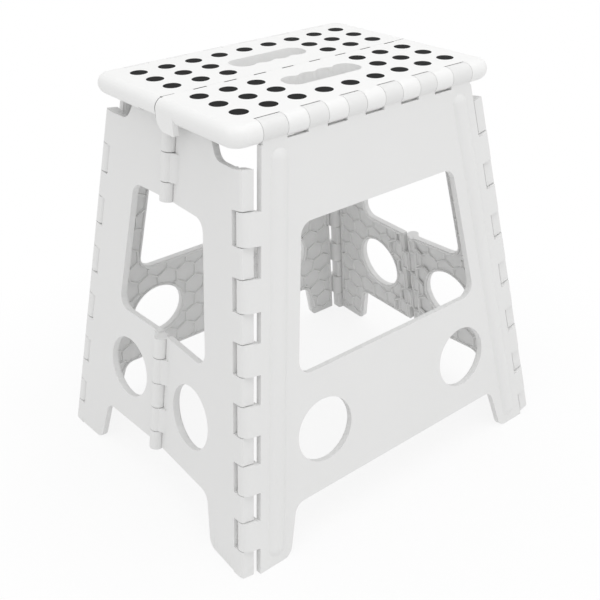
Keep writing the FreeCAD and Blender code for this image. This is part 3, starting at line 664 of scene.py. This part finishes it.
@dataclass(frozen=True)
class Openings:
    """A panel's window, holes and foot arch, alike on both sides of its middle line, in millimetres.

    Attributes:
        window: the window's lowest and highest place.
        window_half: half its width at those two places.
        hole: a round hole's place across and up, and its radius.
        arch: the height of the foot arch.
        foot_inner: the feet's inner edge at the floor and at the arch's height.
        corner: the corner radii of the window and of the arch.
        toe_room: where the rims begin above the rounded toes.
        border: how far the honeycomb keeps from an edge.
        rim: how far the middle of a raised rim lies from its edge.
    """

    window: tuple[float, float]
    window_half: tuple[float, float]
    hole: tuple[float, float, float]
    arch: float
    foot_inner: tuple[float, float]
    corner: tuple[float, float] = (13.0, 12.0)
    toe_room: float = 13.0
    border: float = 3.0
    rim: float = 2.4

    def clear(self, reach: float, up: float) -> bool:
        """Whether a rib may stand at a place, as far as the openings go.

        Args:
            reach: distance from the middle line.
            up: distance up the panel.

        Returns:
            True on solid ground away from the openings.
        """
        low, high = self.window
        if low - self.border < up < high + self.border:
            part = (up - low) / (high - low)
            if reach < self.window_half[0] + part * (self.window_half[1] - self.window_half[0]) + self.border:
                return False
        if math.hypot(reach - self.hole[0], up - self.hole[1]) < self.hole[2] + self.border:
            return False
        if up < self.arch + self.border:
            part = up / self.arch
            inner = self.foot_inner[0] + part * (self.foot_inner[1] - self.foot_inner[0])
            return reach > inner + self.border
        return True

    def rims(self, side: float, inner: float) -> list[list[Vector]]:
        """The lines of the raised rims round the openings on one side of the middle line.

        Args:
            side: 1 or -1, the sign of that side.
            inner: where the rims of the window and the arch begin, across.

        Returns:
            The lines round the hole, the window and the arch.
        """
        low, high = self.window[0] - self.rim, self.window[1] + self.rim
        wide, narrow = (side * (half + self.rim) for half in self.window_half)
        toe, knee = (side * (foot + self.rim) for foot in self.foot_inner)
        arch_top = self.arch + self.rim
        window = [Vector((inner, low)), Vector((wide, low)), Vector((narrow, high)), Vector((inner, high))]
        arch = [Vector((inner, arch_top)), Vector((knee, arch_top)), Vector((toe, self.toe_room))]
        return [ring((side * self.hole[0], self.hole[1]), self.hole[2] + self.rim),
                rounded(window, self.corner[0] + self.rim), rounded(arch, self.corner[1] + self.rim)]

    def side_rim(self, side: float, line: tuple[float, float], top: float) -> list[Vector]:
        """The line of the raised rim along a panel's straight side.

        Args:
            side: 1 or -1, the sign of that side.
            line: the side's half width at the floor and how much it shrinks for each millimetre up.
            top: where the rim ends.

        Returns:
            The line's two ends.
        """
        edge, shrink = line
        return [Vector((side * (edge - self.rim - shrink * up), up)) for up in (self.toe_room, top)]


@dataclass
class LegPanels:
    """The two long leg panels and the ribs behind them."""

    plan: Plan
    ribs: Honeycomb
    openings: Openings = Openings(window=(169.8, 303.6), window_half=(112.2, 90.4), hole=(90.0, 108.0, 31.0),
                                  arch=49.0, foot_inner=(146.0, 132.3))
    top: float = 369.0

    def clear(self, across: float, up: float) -> bool:
        """Whether a rib may stand at a place on a leg's inner face.

        Args:
            across: distance from the middle line.
            up: distance up the panel.

        Returns:
            True on solid ground away from the edges.
        """
        edge, shrink = self.plan.side_line(self.plan.leg_frame())
        reach, border = abs(across), self.openings.border
        if not border < up < self.top - border or reach > edge - shrink * up - border:
            return False
        return self.openings.clear(reach, up)

    def borders(self) -> list[list[Vector]]:
        """The lines of the raised rims round the openings and along the straight sides."""
        line = self.plan.side_line(self.plan.leg_frame())
        lines = []
        for side in (-1.0, 1.0):
            lines += self.openings.rims(side, 0.0)
            lines.append(self.openings.side_rim(side, line, self.top))
        return lines

    def build(self, material: bpy.types.Material) -> None:
        """Makes and dresses the ribs of both legs.

        Args:
            material: the panels' finish.
        """
        reach = self.plan.base_half_length
        for half in Half:
            name = f"{half.name.lower()}_leg"
            panel = half.turn() @ self.plan.leg_frame()
            piece = self.ribs.build(f"{name}_ribs", panel, self.plan.panel, self.clear,
                                    (-reach, reach), (0.0, self.top), self.borders())
            finish_piece(piece, name, Slot.PANEL, material)


@dataclass
class EndPanels:
    """The four hinged end halves and the ribs behind them."""

    plan: Plan
    ribs: Honeycomb
    openings: Openings = Openings(window=(171.0, 302.0), window_half=(74.9, 56.3), hole=(55.0, 111.0, 31.0),
                                  arch=50.0, foot_inner=(104.0, 92.0))
    shoulder: float = 357.5
    crown: tuple[float, float] = (62.0, 372.0)
    hinges: tuple[tuple[float, float, int], ...] = ((47.8, 21.2, 5), (301.6, 18.4, 3))
    inner_knuckle: float = 26.4
    hinge_room: float = 11.0

    def clear(self, across: float, up: float) -> bool:
        """Whether a rib may stand at a place on an end half's inner face.

        Args:
            across: distance from the middle line, on either side of it.
            up: distance up the panel.

        Returns:
            True on solid ground away from the edges and the hinge.
        """
        edge, shrink = self.plan.side_line(self.plan.end_frame(False))
        reach, border = abs(across), self.openings.border
        if reach < self.hinge_room or reach > edge - shrink * up - border:
            return False
        ceiling = self.crown[1] if reach < self.crown[0] else self.shoulder
        if not border < up < ceiling - border:
            return False
        return self.openings.clear(reach, up)

    def knuckles(self, rear: bool) -> Iterator[tuple[float, float]]:
        """Where a half's middle hinge knuckles begin and end.

        Args:
            rear: True for the rear half, which has the first and the last knuckle of each hinge.

        Yields:
            Lowest and highest place of each knuckle, up the panel.
        """
        for start, end_knuckle, total in self.hinges:
            for index in range(total):
                length = end_knuckle if index in (0, total - 1) else self.inner_knuckle
                if (index % 2 == 0) == rear:
                    yield start, start + length
                start += length

    def borders(self, rear: bool) -> list[list[Vector]]:
        """The lines of the raised rims round a half's openings, edges and hinge knuckles.

        Args:
            rear: True for the rear half, which lies towards negative x.

        Returns:
            The lines, in the half's plane.
        """
        side, rim = -1.0 if rear else 1.0, self.openings.rim
        inner, near = side * self.hinge_room, side * rim
        lines = self.openings.rims(side, inner)
        line = self.plan.side_line(self.plan.end_frame(rear))
        lines.append(self.openings.side_rim(side, line, self.shoulder))
        low, high = self.openings.window[0] - rim, self.openings.window[1] + rim
        for bottom, top in ((self.openings.arch + rim, low), (high, self.crown[1] - rim)):
            lines.append([Vector((inner, bottom)), Vector((inner, top))])
        for start, end in self.knuckles(rear):
            bottom, top = start + rim, end - rim
            lines.append([Vector((inner, bottom)), Vector((near, bottom)), Vector((near, top)),
                          Vector((inner, top))])
        return lines

    def build(self, material: bpy.types.Material) -> None:
        """Makes and dresses the ribs of all four end halves.

        Args:
            material: the panels' finish.
        """
        width = self.plan.base_half_width
        for side, half in (("left", Half.FRONT), ("right", Half.REAR)):
            for rear in (False, True):
                towards_rear = rear == (half is Half.FRONT)
                name = f"{side}_end_{'rear' if towards_rear else 'front'}"
                panel = half.turn() @ self.plan.end_frame(rear)
                span = (-width, 0.0) if rear else (0.0, width)
                piece = self.ribs.build(f"{name}_ribs", panel, self.plan.panel, self.clear,
                                        span, (0.0, self.crown[1]), self.borders(rear))
                finish_piece(piece, name, Slot.PANEL, material)


@dataclass
class SeatHalves:
    """The two seat halves and the ribs under them."""

    plan: Plan
    ribs: Honeycomb
    plate: float = 6.0
    reach: float = 134.0
    depth: tuple[float, float] = (17.0, 87.0)
    slot_half: float = 47.0
    slot: tuple[float, float] = (22.0, 57.0)

    def clear(self, across: float, up: float) -> bool:
        """Whether a rib may stand at a place under a seat half.

        Args:
            across: distance from the seat's middle along its length.
            up: distance from the seam, negative on the front half.

        Returns:
            True on the plate, away from the rim, the hinges and the hand slot.
        """
        back = -up
        if abs(across) > self.reach or not self.depth[0] < back < self.depth[1]:
            return False
        return abs(across) > self.slot_half or not self.slot[0] < back < self.slot[1]

    def build(self, material: bpy.types.Material) -> None:
        """Makes and dresses the ribs of both halves.

        Args:
            material: the seat's finish.
        """
        level = Matrix.Translation((0.0, 0.0, self.plan.seat_height))
        for half in Half:
            name = f"{half.name.lower()}_seat"
            piece = self.ribs.build(f"{name}_ribs", half.turn() @ level, self.plate, self.clear,
                                    (-self.reach, self.reach), (-self.depth[1], -self.depth[0]), [])
            finish_piece(piece, name, Slot.SEAT, material)


@dataclass
class Mouldings:
    """The carried-over solids: softened edges and a finish for each slot."""

    finishes: dict[Slot, bpy.types.Material]
    edge_radius: dict[Slot, float] = field(default_factory=lambda: {Slot.PANEL: 0.8, Slot.SEAT: 0.8,
                                                                    Slot.GRIP: 0.3})
    sharp: float = 35.0
    weld: float = 0.01
    segments: int = 2

    def dress(self) -> None:
        """Finishes every node of the frame and rounds those whose slot has an edge radius."""
        slots = {row["node"]: Slot(row["material_slot"]) for row in frame["record"]["subparts"]}
        for name, node in frame["nodes"].items():
            slot = slots[name]
            for place in node.material_slots:
                place.material = self.finishes[slot]
            if slot in self.edge_radius:
                self._soften(node, self.edge_radius[slot])
            log.info("%s: finish %s", name, slot.value)

    def _soften(self, node: bpy.types.Object, radius: float) -> None:
        """Rounds a node's sharp edges with modifiers.

        Args:
            node: the node's object.
            radius: the rounding, in millimetres.
        """
        weld = node.modifiers.new("join_facets", "WELD")
        weld.merge_threshold = self.weld * MM
        bevel = node.modifiers.new("soft_edges", "BEVEL")
        bevel.limit_method = "ANGLE"
        bevel.angle_limit = math.radians(self.sharp)
        bevel.width = radius * MM
        bevel.segments = self.segments
        bevel.use_clamp_overlap = True
        normals = node.modifiers.new("even_faces", "WEIGHTED_NORMAL")
        normals.mode = "FACE_AREA_WITH_ANGLE"
        normals.keep_sharp = False


@dataclass(frozen=True)
class Softbox:
    """One rectangular lamp: where it hangs, where it points, its two sides, in metres, and its watts."""

    name: str
    place: tuple[float, float, float]
    target: tuple[float, float, float]
    size: tuple[float, float]
    power: float

    def build(self) -> None:
        """Hangs the lamp."""
        data = bpy.data.lights.new(self.name, "AREA")
        data.shape = "RECTANGLE"
        data.size, data.size_y = self.size
        data.energy = self.power
        lamp = bpy.data.objects.new(self.name, data)
        aim = (Vector(self.target) - Vector(self.place)).to_track_quat("-Z", "Y")
        lamp.matrix_world = Matrix.Translation(self.place) @ aim.to_matrix().to_4x4()
        bpy.context.scene.collection.objects.link(lamp)
        log.info("%s: %.1f W", self.name, self.power)


@dataclass
class Studio:
    """A white floor and room with soft lamps above, in front and at the left."""

    floor_half: float = 6.0
    floor_sides: int = 96
    floor_color: tuple[float, float, float] = (0.9, 0.9, 0.9)
    floor_roughness: float = 0.9
    shadow_share: float = 0.15
    shadow_reach: tuple[float, float] = (0.26, 0.5)
    bounce_share: float = 0.28
    room_level: float = 0.78
    lamps: tuple[Softbox, ...] = (
        Softbox("overhead_softbox", place=(0.25, -0.35, 2.1), target=(0.0, 0.0, 0.3),
                size=(1.7, 1.7), power=6.8),
        Softbox("front_softbox", place=(0.2, -1.2, 2.5), target=(0.0, 0.0, 0.2),
                size=(1.6, 1.2), power=6.6),
        Softbox("left_softbox", place=(-1.2, -0.3, 2.5), target=(0.0, 0.0, 0.2),
                size=(1.2, 1.2), power=4.4),
    )

    def build(self) -> None:
        """Makes the floor, the room and the lamps."""
        self._floor()
        self._room()
        for lamp in self.lamps:
            lamp.build()

    def _floor(self) -> None:
        """A round floor that shows white to the camera and keeps a share of the stool's shadow."""
        mesh = bmesh.new()
        bmesh.ops.create_circle(mesh, cap_ends=True, segments=self.floor_sides, radius=self.floor_half)
        floor = new_piece("studio_floor", mesh)
        tree = FinishTree("studio_floor_white")
        tree.shade(Base_Color=opaque(self.floor_color), Roughness=self.floor_roughness,
                   Specular_IOR_Level=0.0)
        glow = tree.node("ShaderNodeEmission", {}, {"Color": opaque(WHITE), "Strength": 1.0})
        seen = tree.node("ShaderNodeLightPath", {}, {}, "Is Camera Ray")
        place = tree.node("ShaderNodeTexCoord", {}, {}, "Object")
        away = tree.node("ShaderNodeVectorMath", {"operation": "LENGTH"}, {0: place}, "Value")
        near, far = self.shadow_reach
        share = tree.node("ShaderNodeMapRange", {"clamp": True},
                          {"Value": away, "From Min": near, "From Max": far,
                           "To Min": self.shadow_share, "To Max": 0.0})
        lit = Shade(tree, tree.shader.outputs[0])
        white = seen * (1.0 - share) + (1.0 - seen) * self.bounce_share
        both = tree.node("ShaderNodeMixShader", {}, {0: white, 1: lit, 2: glow})
        tree.feed(tree.first("OUTPUT_MATERIAL").inputs["Surface"], both)
        floor.data.materials.append(tree.material)
        floor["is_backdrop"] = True
        log.info("studio_floor: %.1f m across", 2.0 * self.floor_half)

    def _room(self) -> None:
        """A world that is white to the camera and a plain soft light to the stool."""
        world = bpy.data.worlds.new("studio_room")
        world.use_nodes = True
        board = NodeBoard(world.node_tree)
        seen = board.node("ShaderNodeLightPath", {}, {}, "Is Camera Ray")
        background = board.first("BACKGROUND")
        board.feed(background.inputs["Color"], opaque(WHITE))
        board.feed(background.inputs["Strength"], self.room_level + seen * (1.0 - self.room_level))
        bpy.context.scene.world = world


@dataclass
class PhotoCamera:
    """The camera at the photograph's angle, in degrees and millimetres; its near limit is in metres."""

    azimuth: float = -38.62
    elevation: float = 29.731
    roll: float = -1.329
    place: tuple[float, float, float] = (-507.43, -635.93, 608.54)
    lens: float = 53.816
    sensor: float = 36.0
    near: float = 0.01

    def build(self) -> None:
        """Makes the camera and gives it to the scene."""
        data = bpy.data.cameras.new("photo_camera")
        data.lens = self.lens
        data.sensor_width = self.sensor
        data.clip_start = self.near
        camera = bpy.data.objects.new("photo_camera", data)
        turn = Matrix.Rotation(math.radians(self.azimuth), 4, "Z")
        tilt = Matrix.Rotation(math.radians(90.0 - self.elevation), 4, "X")
        roll = Matrix.Rotation(math.radians(self.roll), 4, "Z")
        camera.matrix_world = Matrix.Translation(Vector(self.place) * MM) @ turn @ tilt @ roll
        bpy.context.scene.collection.objects.link(camera)
        bpy.context.scene.camera = camera


def write_sizes() -> None:
    """Gathers the box of the solids and of the dressed stool side by side, as plain lists."""
    boxes = {"cad": CAD_BOX, "visual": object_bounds()}
    plain = {name: [list(corner) for corner in box] for name, box in boxes.items()}


def main() -> None:
    """Builds the stool's finishes and pieces, the studio and the camera in order."""
    logging.basicConfig(level=logging.INFO, format="%(message)s")
    bpy.context.scene.view_settings.view_transform = "Standard"
    plan = Plan()
    panel = MouldedPlastic("panel_moulded_plastic", color=(0.83, 0.83, 0.825),
                           cloud_color=(0.80, 0.80, 0.795), scuff_color=(0.62, 0.62, 0.61), roughness=0.42,
                           grain_scale=1500.0, grain_depth=0.25, scuff_height=22.0)
    # The seat's finish paints shade into the seam's notches and along the seam near the rim.
    seat = MouldedPlastic("seat_moulded_plastic", color=(0.90, 0.90, 0.895),
                          cloud_color=(0.875, 0.875, 0.87), scuff_color=(0.7, 0.7, 0.69), roughness=0.46,
                          grain_scale=1100.0, grain_depth=0.4, scuff_height=1.0, seam=PaintedSeamShade(plan.seat_height))
    grip = GripDot("grip_black_dot", color=(0.006, 0.006, 0.006), dust_color=(0.02, 0.02, 0.019),
                   roughness=0.66)
    pin = PinSteel("pin_drawn_steel", color=(0.58, 0.58, 0.57), tarnish_color=(0.36, 0.35, 0.34))
    finishes = {Slot.PANEL: panel.material(), Slot.SEAT: seat.material(),
                Slot.GRIP: grip.material(), Slot.PIN: pin.material()}
    Mouldings(finishes).dress()
    low_ribs = Honeycomb(cell=24.0, foot=3.2, crest=1.4, height=1.8)
    tall_ribs = Honeycomb(cell=24.0, foot=2.2, crest=1.0, height=8.0)
    LegPanels(plan, low_ribs).build(finishes[Slot.PANEL])
    EndPanels(plan, low_ribs).build(finishes[Slot.PANEL])
    SeatHalves(plan, tall_ribs).build(finishes[Slot.SEAT])
    Studio().build()
    PhotoCamera().build()
    write_sizes()


if __name__ == "__main__":
    main()
